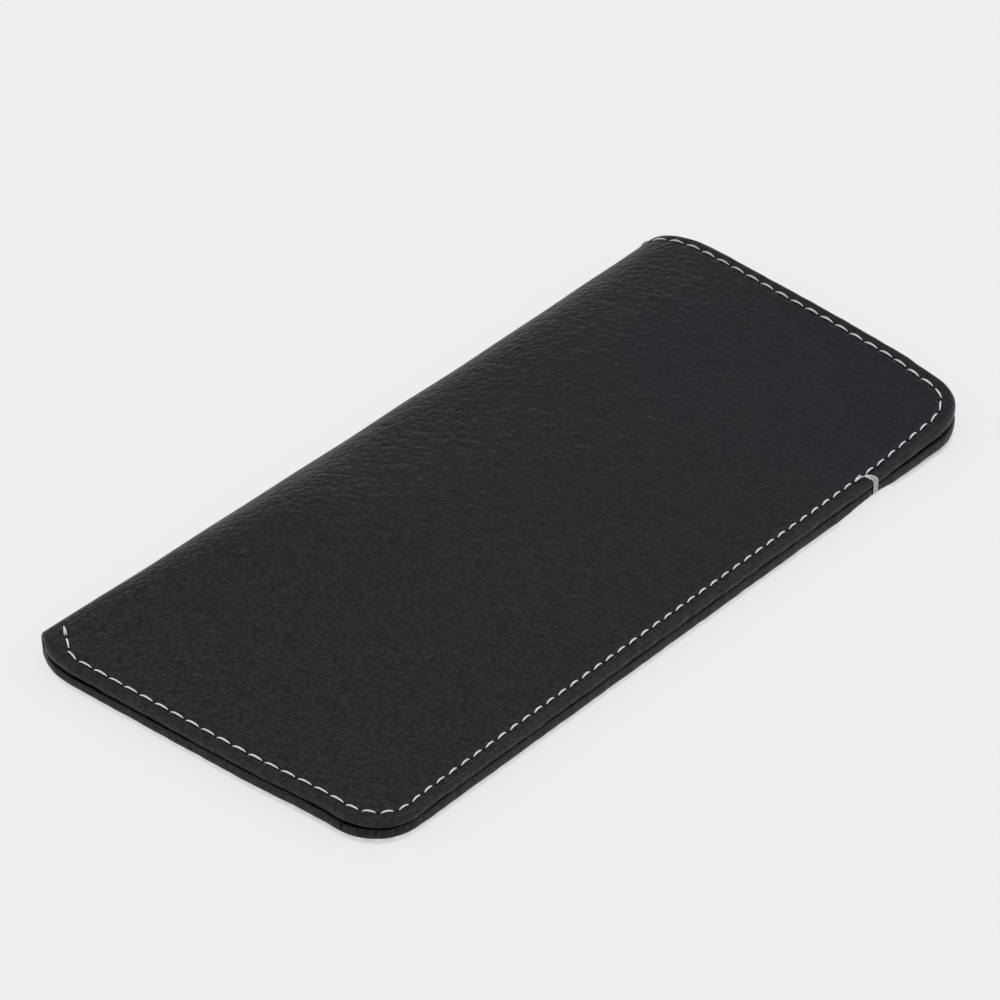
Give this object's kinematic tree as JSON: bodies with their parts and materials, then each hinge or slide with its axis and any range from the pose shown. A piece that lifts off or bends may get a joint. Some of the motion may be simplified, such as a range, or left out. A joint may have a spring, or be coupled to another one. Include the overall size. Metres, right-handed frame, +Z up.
{
  "type": "glasses pouch",
  "caption": "Flat leather sleeve folded along its spine and sewn along the other side and an end, with an open mouth whose free upper corner lifts so glasses slide in.",
  "frame": {"origin": "on the surface that the pouch lies on, below the middle of the sleeve", "axes": "+X from the closed end to the mouth, +Y from the sewn long edge to the fold, +Z up from the lower panel to the upper one"},
  "size_m": [0.1748, 0.0864, 0.0099],
  "materials": {
    "black_leather": "pebbled, semi-matt",
    "dark_lining": "brushed, matt",
    "grey_board": "pressed fibre board",
    "grey_thread": "twisted sewing thread"
  },
  "bodies": {
    "sleeve": {"leather_cover": "black_leather", "lining": "dark_lining", "stiffener_top": "grey_board", "stiffener_bottom": "grey_board", "seam_needle_thread": "grey_thread", "seam_bobbin_thread": "grey_thread", "mouth_hem_needle_thread": "grey_thread", "mouth_hem_bobbin_thread": "grey_thread", "bar_tack_thread": "grey_thread"},
    "mouth_lip": {"mouth_lip_leather": "black_leather", "mouth_lip_lining": "dark_lining", "lip_hem_needle_thread": "grey_thread", "lip_hem_bobbin_thread": "grey_thread"}
  },
  "joints": [
    {"name": "mouth_lip_hinge", "type": "hinge", "parent": "sleeve", "child": "mouth_lip", "pos_m": [0.05375, -0.04275, 0.0064], "axis": [-0.5056, -0.8614, -0.0484], "range_deg": [-2.5, 50], "stiffness_Nm_per_rad": 0.02}
  ]
}
